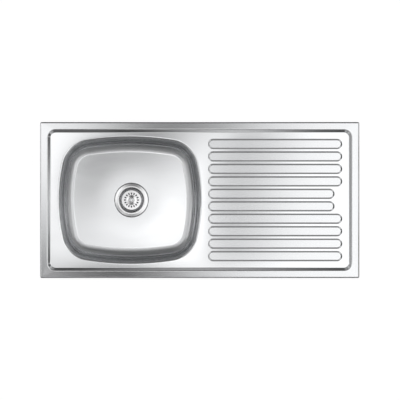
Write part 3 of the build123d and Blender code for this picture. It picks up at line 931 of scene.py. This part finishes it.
def strainer_body_surface(outlet_steps=110, cup_steps=150):
    """The body's closed profile turned about its axis, with threads cut outside its cup and its outlet."""
    inside = rounded_path(
        [
            (flange_radius, flange_under),
            (flange_radius, flange_under + flange_edge),
            (throat_radius + crown_width, flange_top),
            (throat_radius, flange_top),
            (throat_radius, cup_floor),
            (outlet_bore, cup_floor),
            (outlet_bore, outlet_end),
        ],
        [flange_edge_bend, throat_bend, throat_bend, cup_floor_bend, outlet_bend],
    )
    shoulder = cup_floor - cup_floor_wall
    outlet = straight((outlet_thread_radius, outlet_end), (outlet_thread_radius, shoulder), outlet_steps)
    cup = straight((cup_outer_radius, shoulder), (cup_outer_radius, flange_under), cup_steps)
    profile = np.vstack((
        inside,
        [(outlet_thread_radius, outlet_end)],
        outlet,
        [(outlet_thread_radius, shoulder), (cup_outer_radius, shoulder)],
        cup,
        [(cup_outer_radius, flange_under), (flange_radius, flange_under)],
    ))
    body = turned(profile)
    outlet_rows = slice(len(inside), len(inside) + len(outlet) + 1)
    cup_rows = slice(len(inside) + len(outlet) + 3, len(profile) - 2)
    for rows, low, high in (
        (outlet_rows, outlet_end, shoulder - thread_margin),
        (cup_rows, shoulder + thread_margin, flange_under - thread_margin),
    ):
        body[rows] = threaded(body[rows], low, high, waste_axis, thread_pitch, thread_depth)
    return skin(body)


def about_waste(along, across, height, turn):
    """Points given along and across a radius of the waste, with that radius turned to a bearing."""
    x = waste_axis[0] + along * np.cos(turn) - across * np.sin(turn)
    y = along * np.sin(turn) + across * np.cos(turn)
    return grid(x, y, height)


def ring(inner, outer, low, high, bends, steps=5):
    """A ring about the waste's axis: a rectangle with rounded corners, bottom inside first, then bottom
    outside, top outside and top inside."""
    middle = (low + high) / 2
    corners = [(inner, middle), (inner, low), (outer, low), (outer, high), (inner, high), (inner, middle)]
    return skin(turned(rounded_path(corners, bends, steps)))


def spoke_surfaces():
    """Cross of four spokes: a rounded bar section carried out from the hub to the outlet's wall, turned by
    quarters, and the hub as a ring about the peg's bore."""
    half = spoke_width / 2
    spoke_low = spoke_top - spoke_height
    corners = [
        (0, spoke_top), (-half, spoke_top), (-half, spoke_low),
        (half, spoke_low), (half, spoke_top), (0, spoke_top),
    ]
    across, height = rounded_path(corners, [spoke_bend] * 4, steps=3).T
    reach = np.array((spoke_hub_radius - spoke_bend, outlet_bore + spoke_bend))[:, None]
    spokes = [skin(about_waste(reach, across, height, turn), around=False) for turn in bearings(4)]
    hub = ring(peg_bore, spoke_hub_radius, spoke_low, spoke_top, [spoke_bend] * 4, steps=3)
    return [*spokes, hub]


def turned_steel():
    """Polished stainless steel with the faint rings of turning about the waste's axis."""
    tree = new_finish("stainless_waste")
    place = own_place(tree)
    centred = add_node(tree, "ShaderNodeMapping", Vector=place, Location=(-waste_axis[0], 0, 0))[0]
    flat = vectors(tree, "MULTIPLY", centred, (1, 1, 0))[0]
    radius = vectors(tree, "LENGTH", flat)["Value"]
    one_way = {"noise_dimensions": "1D"}
    rings = add_node(tree, "ShaderNodeTexNoise", one_way, W=radius, Scale=2600.0, Detail=2.0)["Fac"]
    tone = tinted(tree, rings, (0.79, 0.79, 0.8, 1), (0.83, 0.83, 0.835, 1))
    rough = spread(tree, cloudy(tree, place, scale=60.0, detail=4.0), 0.1, 0.17)
    set_finish(tree, tone, rings, roughness=rough, strength=0.05, distance=0.05 * mm, metallic=1.0)


turned_steel()
body_surfaces = [strainer_body_surface(), *spoke_surfaces()]
make_piece("waste_body", body_surfaces, "stainless_waste", "sink", "strainer_body")

# Rings under the flange. A soft seal lies between flange and bowl; below the bowl's floor come a thick rubber
# gasket and a thin zinc-plated friction ring, which lets the lock nut turn without dragging the rubber.
ring_bore = 38.1 * mm
seal_ring_radius = 47.0 * mm
seal_ring_bend = 0.5 * mm
gasket_radius = 48.1 * mm
gasket_bend = 0.9 * mm
fine = 0.2 * mm


def soft_black():
    """Black rubber: matt, with a fine mould texture and a slightly greyer bloom in places."""
    tree = new_finish("black_rubber")
    place = own_place(tree)
    texture = cloudy(tree, place, scale=1500.0, detail=3.0)
    patches = cloudy(tree, place, scale=70.0, detail=3.0)
    tone = tinted(tree, patches, (0.016, 0.016, 0.017, 1), (0.04, 0.04, 0.042, 1))
    set_finish(tree, tone, texture, roughness=0.6, strength=0.25, distance=0.1 * mm)


def ring_piece(name, node, bore, outer, bends, finish, body):
    """A ring from its node's lowest to its highest level, as a piece in place of that node."""
    low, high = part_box(node)
    make_piece(name, [ring(bore, outer, low.z, high.z, bends)], finish, body, node)


soft_black()
for name, node, outer, bend, finish in (
    ("seal_ring", "flange_seal", seal_ring_radius, seal_ring_bend, "black_rubber"),
    ("gasket_ring", "lower_gasket", gasket_radius, gasket_bend, "black_rubber"),
    ("slip_ring", "friction_ring", gasket_radius, fine, "zinc_plated_steel"),
):
    ring_piece(name, node, ring_bore, outer, [bend] * 4, finish, "sink")

# Lock nut. Injection-moulded ring of white plastic, with six lugs for a spanner round its outside.
# It runs up the cup's thread and clamps the bowl's floor between the flange and the rings above the nut.
lock_low, lock_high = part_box("lock_nut")
lug_count = 6
lug_width = 12.0 * mm
lug_height = 5.0 * mm
lug_flank = 0.8 * mm
lock_rim_radius = (lock_high.x - lock_low.x) / 2 - lug_height
lock_bevel = 0.8 * mm
lock_bevel_middle = 0.3 * lock_bevel


def lock_nut_surface(columns=300):
    """The ring's rows from the bore down, out below, up its side and in over the top. Its side stands further
    out on the bearings of a lug, with a short smooth flank on both sides of the lug."""
    bearing = bearings(columns)
    pitch = 2 * np.pi / lug_count
    from_lug = np.abs((bearing + pitch / 2) % pitch - pitch / 2) * lock_rim_radius
    on_lug = rising(-from_lug, -lug_width / 2 - lug_flank, -lug_width / 2 + lug_flank)
    side = lock_rim_radius + lug_height * on_lug
    bore = np.full(columns, ring_bore)
    low, high = lock_low.z, lock_high.z
    rows = [
        (bore, high - lock_bevel), (bore, low + lock_bevel),
        (bore + lock_bevel, low), (side - lock_bevel, low),
        (side - lock_bevel_middle, low + lock_bevel_middle), (side, low + lock_bevel),
        (side, high - lock_bevel), (side - lock_bevel_middle, high - lock_bevel_middle),
        (side - lock_bevel, high), (bore + lock_bevel, high), (bore, high - lock_bevel),
    ]
    radius = np.stack([row for row, _ in rows])
    height = np.array([level for _, level in rows])[:, None]
    return skin(about_axis(waste_axis, radius, bearing, height))


def moulded_white():
    """White plastic: half gloss, a trace of warm tint and the faint ripple of a moulding."""
    tree = new_finish("white_plastic")
    ripple = cloudy(tree, own_place(tree), scale=110.0, detail=2.0)
    tone = tinted(tree, ripple, (0.74, 0.74, 0.72, 1), (0.8, 0.8, 0.785, 1))
    rough = spread(tree, ripple, 0.3, 0.4)
    set_finish(tree, tone, ripple, roughness=rough, strength=0.1, distance=0.2 * mm)


moulded_white()
make_piece("lugged_nut", [lock_nut_surface()], "white_plastic", "sink", "lock_nut")

# Basket. Pressed from thin stainless sheet as a shallow dish: a sloping wall, a floor with sixteen slots, and
# a raised boss in the middle that the knob is screwed down on.
basket_low, basket_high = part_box("basket")
basket_sheet = 0.8 * mm
basket_top = basket_high.z
basket_rim_radius = (basket_high.x - basket_low.x) / 2
basket_floor = basket_low.z + basket_sheet
basket_floor_radius = 29.0 * mm
basket_floor_bend = 1.5 * mm
boss_foot_bend = 3.0 * mm
boss_neck_bend = 1.0 * mm
boss_head_bend = 1.2 * mm
boss_radius = 14.5 * mm
boss_neck_radius = 8.6 * mm
boss_neck_height = 1.3 * mm
boss_top_radius = 6.8 * mm
boss_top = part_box("stopper_spacer")[1].z + basket_sheet
slot_count = 16
slot_circle = 19.3 * mm
slot_length = 6.0 * mm
slot_width = 3.4 * mm
slot_margin = 1.2 * mm
slot_edge_round = 0.25 * mm
slot_end_crowding = 2.2
slot_field_inner = slot_circle - slot_length / 2 - slot_margin
slot_field_outer = slot_circle + slot_length / 2 + slot_margin
stud_radius = 3.0 * mm
arc_steps = 6
side_steps = 6


def basket_profile(offset):
    """Basket's profile at an offset from the middle of its sheet, from the rim down and in to the stud's
    hole."""
    half = basket_sheet / 2
    corners = np.array([
        (basket_rim_radius - half, basket_top - half),
        (basket_floor_radius, basket_floor - half),
        (boss_radius, basket_floor - half),
        (boss_neck_radius, basket_floor + boss_neck_height - half),
        (boss_top_radius, boss_top - half),
        (stud_radius, boss_top - half),
    ])
    runs = np.diff(corners, axis=0)
    runs /= np.linalg.norm(runs, axis=1)[:, None]
    normals = np.stack((runs[:, 1], -runs[:, 0]), axis=1)
    bisectors = np.vstack((normals[:1], normals[:-1] + normals[1:], normals[-1:]))
    lengths = np.concatenate(([1], 1 + np.sum(normals[:-1] * normals[1:], axis=1), [1]))
    hollow_bends = [bend - offset for bend in (basket_floor_bend, boss_foot_bend, boss_neck_bend)]
    bends = [*hollow_bends, boss_head_bend + offset]
    return rounded_path(corners + offset * bisectors / lengths[:, None], bends)


def slot_patch_edge():
    """Outline of the floor's part about one slot, from the slot's middle: an arc, a side, an arc, a side."""
    half_angle = np.pi / slot_count
    sweep = np.linspace(-half_angle, half_angle, arc_steps + 1)
    run = np.linspace(slot_field_inner, slot_field_outer, side_steps + 1)
    outer_arc, inner_arc = (np.full(arc_steps, radius) for radius in (slot_field_outer, slot_field_inner))
    radius = np.concatenate((outer_arc, run[:0:-1], inner_arc, run[:-1]))
    side = np.full(side_steps, half_angle)
    angle = np.concatenate((sweep[:-1], side, sweep[:0:-1], -side))
    return polar(radius, angle) - (slot_circle, 0)


def slot_outline(edge, grow):
    """The slot's outline, grown: for each point of the edge one on the circles at the slot's ends."""
    radius = slot_width / 2 + grow
    straight_half = (slot_length - slot_width) / 2
    share = edge[:, 0] / np.abs(edge[:, 0]).max()
    end = np.clip(share * slot_end_crowding, -1, 1) * straight_half
    bearing = np.arctan2(edge[:, 1], edge[:, 0] - end)
    return polar(radius, bearing) + np.stack((end, 0 * end), axis=1)


def basket_surfaces():
    """Wall and boss turned about the axis, and between them sixteen patches, each a set of rings that go from
    the patch's edge to its slot, down through the sheet and back out below."""
    upper = basket_profile(basket_sheet / 2)
    lower = basket_profile(-basket_sheet / 2)
    basket_under = basket_floor - basket_sheet
    wall = np.vstack((
        [(slot_field_outer, basket_under)],
        lower[lower[:, 0] > slot_field_outer][::-1],
        upper[upper[:, 0] > slot_field_outer],
        [(slot_field_outer, basket_floor)],
    ))
    boss = np.vstack((
        [(slot_field_inner, basket_floor)],
        upper[upper[:, 0] < slot_field_inner],
        lower[lower[:, 0] < slot_field_inner][::-1],
        [(slot_field_inner, basket_under)],
    ))
    edge = slot_patch_edge()
    hole = slot_outline(edge, 0)
    rounded_hole = slot_outline(edge, slot_edge_round)
    rings = [
        (edge, 0), (slot_outline(edge, 2 * slot_edge_round), 0), (rounded_hole, 0), (hole, -slot_edge_round),
        (hole, slot_edge_round - basket_sheet), (rounded_hole, -basket_sheet), (edge, -basket_sheet),
    ]
    plan = np.stack([outline for outline, _ in rings])
    height = np.array([basket_floor + level for _, level in rings])[:, None]
    along, across = plan[..., 0] + slot_circle, plan[..., 1]
    patches = [skin(about_waste(along, across, height, turn)) for turn in bearings(slot_count)]
    columns = bearings(slot_count * arc_steps) - np.pi / slot_count
    return [skin(turned(wall, columns)), skin(turned(boss, columns)), *patches]


make_piece("strainer_basket_shell", basket_surfaces(), "stainless_waste", "strainer_basket", "basket")

# Knob. Turned from one stainless bar with its stud: a waisted grip on a shoulder, below which the stud passes
# the basket and the stopper and ends in a peg that drops through the cross of spokes.
knob_low, knob_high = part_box("basket_knob")
knob_top = knob_high.z
knob_radius = 4.6 * mm
knob_neck = 3.4 * mm
knob_shoulder = 5.5 * mm
knob_foot = boss_top + 1.5 * mm
knob_waist_top = (knob_top + knob_foot) / 2
knob_waist_foot = (knob_top + 3 * knob_foot) / 4
knob_corners = [
    (0, knob_low.z),
    (stud_radius, knob_low.z),
    (stud_radius, boss_top),
    (knob_shoulder, boss_top),
    (knob_shoulder, knob_foot),
    (knob_neck, knob_foot),
    (knob_neck, knob_waist_foot),
    (knob_radius, knob_waist_top),
    (knob_radius, knob_top),
    (0, knob_top),
]
knob_bends = [1.0 * mm, 0.1 * mm, 0.4 * mm, 0.5 * mm, 0.5 * mm, 1.5 * mm, 1.5 * mm, 1.8 * mm]
knob = skin(turned(rounded_path(knob_corners, knob_bends)))
make_piece("knob_and_stud", [knob], "stainless_waste", "stopper_stem", "basket_knob")

# Stopper on the knob's stud. A steel spacer tube holds a thick rubber disc below the basket; a washer and a
# hexagon nut clamp the disc from below. With the basket down, the disc closes the outlet in the cup's floor.
stud_bore = stud_radius + 0.05 * mm
spacer_radius = 5.5 * mm
stopper_radius = 24.0 * mm
stopper_shoulder = 1.6 * mm
stopper_washer_radius = 10.0 * mm
stopper_nut_apothem = 4.5 * mm
for name, node, outer, bends, finish in (
    ("spacer_tube", "stopper_spacer", spacer_radius, [fine] * 4, "stainless_waste"),
    ("rubber_disc", "stopper", stopper_radius, [fine, 3 * fine, stopper_shoulder, fine], "black_rubber"),
    ("disc_washer", "stopper_washer", stopper_washer_radius, [fine] * 4, "stainless_waste"),
):
    ring_piece(name, node, stud_bore, outer, bends, finish, "stopper_stem")
stem_low, stem_high = (corner.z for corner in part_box("stopper_nut"))
stem_bore = plain_bore(stud_bore, stem_low, stem_high)
stem_nut = nut(hexagon, stopper_nut_apothem, stem_low, stem_high, waste_axis, stem_bore)
make_piece("stem_nut", [stem_nut], "stainless_waste", "stopper_stem", "stopper_nut")

# Tailpiece. Thin stainless tube with a flange rolled out at its top and a slightly swollen neck below the
# flange. It hangs in the coupling nut, and a rubber washer seals its flange against the outlet.
tail_low, tail_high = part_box("tailpiece")
tail_radius = 19.05 * mm
tail_wall = 1.2 * mm
tail_bore = tail_radius - tail_wall
tail_neck_radius = tail_radius + 0.2 * mm
tail_flange_radius = (tail_high.x - tail_low.x) / 2
tail_flange_under = tail_high.z - 1.5 * mm
tail_neck_foot = tail_flange_under - 4.0 * mm
tail_corners = [
    (tail_bore, tail_low.z + tail_wall),
    (tail_bore, tail_low.z),
    (tail_radius, tail_low.z),
    (tail_radius, tail_neck_foot - (tail_neck_radius - tail_radius)),
    (tail_neck_radius, tail_neck_foot),
    (tail_neck_radius, tail_flange_under),
    (tail_flange_radius, tail_flange_under),
    (tail_flange_radius, tail_high.z),
    (tail_bore, tail_high.z),
    (tail_bore, tail_low.z + tail_wall),
]
tail_bends = [fine, fine, fine, fine, fine, 2 * fine, 2 * fine, 3 * fine]
tail = skin(turned(rounded_path(tail_corners, tail_bends, steps=4)))
make_piece("tail_tube", [tail], "stainless_waste", "sink", "tailpiece")
ring_piece("tail_seal", "tail_washer", tail_bore, tail_flange_radius, [2 * fine] * 4, "black_rubber", "sink")

# Coupling nut. Moulded in white plastic, with eight flats and a lip inside its lower end.
# It is screwed on the outlet, and its lip carries the tailpiece's flange.
coupling_low, coupling_high = (corner.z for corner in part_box("coupling_nut"))
coupling_sides = 8
coupling_bore = 24.0 * mm
coupling_apothem = 29.0 * mm
coupling_lip_bore = tail_neck_radius + 0.3 * mm
coupling_inside = [
    (coupling_bore + bore_chamfer, coupling_high),
    (coupling_bore, coupling_high - bore_chamfer),
    (coupling_bore, tail_flange_under),
    (coupling_lip_bore, tail_flange_under),
    (coupling_lip_bore, coupling_low + bore_chamfer),
    (coupling_lip_bore + bore_chamfer, coupling_low),
]
coupling = nut(coupling_sides, coupling_apothem, coupling_low, coupling_high, waste_axis, coupling_inside)
make_piece("flatted_nut", [coupling], "white_plastic", "sink", "coupling_nut")

# Studio. A pale floor that shows white and keeps the sink's shadow, one broad softbox overhead, three upright
# cards beside the sink and a dim room. The camera looks straight down through a long lens, as in the
# photograph.
floor_half = 9.0
floor_glow = 0.86
floor_grey = (0.42, 0.42, 0.42, 1)


def stage(name, points, finish):
    """An object of the studio from a grid of points, which is no part of the sink."""
    places, faces = skin(points, around=False)
    mesh = bpy.data.meshes.new(name)
    mesh.from_pydata(places.tolist(), [], faces)
    mesh.materials.append(finishes[finish])
    thing = bpy.data.objects.new(name, mesh)
    bpy.context.scene.collection.objects.link(thing)
    return thing


def show(tree, surface):
    """Makes a shader the material's surface, in place of the Principled one."""
    tree.nodes.remove(tree.nodes["Principled BSDF"])
    connect(tree, tree.nodes["Material Output"].inputs["Surface"], surface)


def pale_floor():
    """Matt pale floor that also glows to the camera and in reflections, so that it shows white with soft
    shadows."""
    tree = new_finish("pale_floor")
    path = add_node(tree, "ShaderNodeLightPath")
    seen = arithmetic(tree, "MAXIMUM", path["Is Camera Ray"], path["Is Glossy Ray"])
    shown = arithmetic(tree, "MAXIMUM", seen, path["Is Transmission Ray"])
    light = add_node(tree, "ShaderNodeEmission", Strength=arithmetic(tree, "MULTIPLY", shown, floor_glow))[0]
    matt = add_node(tree, "ShaderNodeBsdfDiffuse", Color=floor_grey)[0]
    show(tree, add_node(tree, "ShaderNodeAddShader", input0=light, input1=matt)[0])


floor_x, floor_y = np.meshgrid((-floor_half, floor_half), (-floor_half, floor_half))
pale_floor()
stage("floor", grid(floor_x, floor_y, cad_low.z), "pale_floor")

# Softbox overhead, a grid whose brightness is even but for its darker edges and a few soft shaded places
softbox_height = 1.5
softbox_half_x = 1.7
softbox_half_y = 1.5
softbox_level = 1.25
softbox_columns, softbox_rows = 121, 107
softbox_x = np.linspace(-softbox_half_x, softbox_half_x, softbox_columns)
softbox_y = np.linspace(-softbox_half_y, softbox_half_y, softbox_rows)
box_x, box_y = np.meshgrid(softbox_x, softbox_y)
softbox_glow = np.full(box_x.shape, softbox_level)
for towards_edge, start, end, share in (
    (box_y, 0.48, 0.8, 0.92),
    (-box_y, 0.5, 0.8, 0.88),
    (-box_x, 1.0, 1.4, 0.85),
    (box_x, 0.75, 1.05, 0.8),
):
    softbox_glow *= 1 - share * rising(towards_edge, start, end)
for centre_x, centre_y, size_x, size_y, share in (
    (-0.06, 0.46, 0.27, 0.20, 0.97),
    (-0.145, 0.25, 0.125, 0.11, 0.66),
    (-0.70, -0.26, 0.20, 0.25, 0.9),
):
    away = ((box_x - centre_x) / size_x) ** 2 + ((box_y - centre_y) / size_y) ** 2
    softbox_glow *= 1 - share * np.exp(-away)

# The shade over the bowl is a rounded rectangle that darkens to the left and to the back
bowl_shade_x = -0.2
bowl_shade_half_x = 0.2
bowl_shade_half_y = 0.18
bowl_shade_middle = 0.47
shade_middle_x = -0.352
shade_slope_x, shade_slope_y = -2.4, 3.1
from_bowl = (((box_x - bowl_shade_x) / bowl_shade_half_x) ** 4 + (box_y / bowl_shade_half_y) ** 4) ** 0.25
bowl_slope = shade_slope_x * (box_x - shade_middle_x) + shade_slope_y * box_y
bowl_shade = np.clip(bowl_shade_middle + bowl_slope, -0.2, 0.8)
softbox_glow *= 1 - rising(-from_bowl, -1.15, -0.97) * bowl_shade

# The shade over the ribs begins sharply on the left and fades to the right, and slants at the back
rib_shade = 0.52
rib_slant = 0.5
rib_slant_start = 0.06
along_ribs = box_x - rib_slant * np.maximum(box_y - rib_slant_start, 0)
over_ribs = rising(along_ribs, -0.01, 0.07) * rising(-along_ribs, -0.32, -0.09)
rib_rows = rising(box_y, -0.215, -0.175) * rising(-box_y, -0.26, -0.18)
softbox_glow *= 1 - rib_shade * over_ribs * rib_rows

# The shade in front of the bowl widens to the front
front_shade = 0.97
front_shade_x = -0.26
front_widening = -0.85
front_width = np.clip(front_widening * box_y, 0.15, 0.36)
front_rows = rising(-box_y, 0.14, 0.235) * rising(box_y, -0.62, -0.46)
softbox_glow *= 1 - front_shade * np.exp(-(((box_x - front_shade_x) / front_width) ** 2)) * front_rows


def card_light():
    """White light with the strength that the card's own brightness gives at each point."""
    tree = new_finish("card_light")
    glow = add_node(tree, "ShaderNodeAttribute", {"attribute_name": "glow"})["Fac"]
    show(tree, add_node(tree, "ShaderNodeEmission", Strength=glow)[0])


def light_card(name, points, glow):
    """A flat card that gives light: a grid of points, each with a brightness. The camera doesn't see it."""
    card = stage(name, points, "card_light")
    attribute = card.data.attributes.new("glow", "FLOAT", "POINT")
    attribute.data.foreach_set("value", glow.ravel().astype(np.float32))
    card.visible_camera = False
    card.visible_shadow = False


card_light()
light_card("softbox", grid(box_x, box_y, softbox_height), softbox_glow)

# Upright cards, each brightest in its middle and falling off as a bell curve to its ends
card_columns, card_rows = 41, 5
for name, middle, along, reach, rise, bell, level in (
    ("right_card", (0.95, 0.0, 0.63), (0, 1), 0.20, 0.11, 0.077, 0.95),
    ("front_card", (0.10, -0.75, 0.40), (1, 0), 0.34, 0.065, 0.17, 0.78),
    ("back_card", (0.03, 0.75, 0.40), (1, 0), 0.43, 0.065, 0.27, 0.48),
):
    columns, rows = np.linspace(-reach, reach, card_columns), np.linspace(-rise, rise, card_rows)
    offset, height = np.meshgrid(columns, rows)
    points = grid(middle[0] + along[0] * offset, middle[1] + along[1] * offset, middle[2] + height)
    light_card(name, points, level * np.exp(-((offset / bell) ** 2)))


def dim_room():
    """Room about the softbox, by the direction that is looked in: dark grey, and paler towards both ends.
    Over that come a front wall and two end walls that fade out low down, the feet of the front and back
    walls, an upright strip light at each end, the low part of each end, and a patch in each corner."""
    world = bpy.data.worlds.new("dim_room")
    world.use_nodes = True
    tree = world.node_tree
    direction = add_node(tree, "ShaderNodeTexCoord")["Generated"]
    x, y, z = add_node(tree, "ShaderNodeSeparateXYZ", Vector=direction)

    def product(first, second):
        """Product of two values. That of two masks is the place that both cover."""
        return arithmetic(tree, "MULTIPLY", first, second)

    endways = arithmetic(tree, "ABSOLUTE", x)
    crossways = arithmetic(tree, "ABSOLUTE", y)
    slanted = arithmetic(tree, "SUBTRACT", y, product(endways, 0.15))
    off_strip = arithmetic(tree, "ABSOLUTE", slanted)
    cornerwise = arithmetic(tree, "ABSOLUTE", product(x, y))
    end_rise = ramp(tree, z, 0.40, 0.55)
    low_down = ramp(tree, z, 0.5, 0.42)
    front_wall = product(ramp(tree, y, -0.3, -0.6), ramp(tree, z, 0.42, 0.58))
    right_wall = product(ramp(tree, x, 0.35, 0.65), end_rise)
    left_wall = product(ramp(tree, x, -0.35, -0.65), end_rise)
    wall_feet = product(ramp(tree, crossways, 0.3, 0.6), ramp(tree, z, 0.42, 0.3))
    strips = product(ramp(tree, off_strip, 0.13, 0.06), ramp(tree, endways, 0.3, 0.5))
    low_right = product(ramp(tree, x, 0.7, 0.85), low_down)
    low_left = product(ramp(tree, x, -0.7, -0.85), low_down)
    corners = ramp(tree, cornerwise, 0.36, 0.44)
    tone = add_node(tree, "ShaderNodeMapRange", Value=endways, From_Min=0.2, To_Min=0.07, To_Max=0.3)[0]
    for mask, level in (
        (front_wall, 0.25), (right_wall, 0.35), (left_wall, 0.36), (wall_feet, 0.28),
        (strips, 1.7), (low_right, 0.04), (low_left, 0.36), (corners, 0.7),
    ):
        tone = mixed(tree, mask, tone, level)
    connect(tree, tree.nodes["Background"].inputs["Color"], tone)
    return world


bpy.context.scene.world = dim_room()

camera_distance = 40.0
view_width = 1.1768
view_x = 0.74 * mm
view_y = 0.18 * mm
camera_data = bpy.data.cameras.new("camera")
camera_data.sensor_width = 36.0
camera_data.lens = camera_data.sensor_width * camera_distance / view_width
camera_data.clip_end = 2 * camera_distance
camera = bpy.data.objects.new("camera", camera_data)
camera.location = (view_x, view_y, rim_top + camera_distance)
bpy.context.scene.collection.objects.link(camera)
bpy.context.scene.camera = camera
bpy.context.scene.view_settings.view_transform = "Standard"
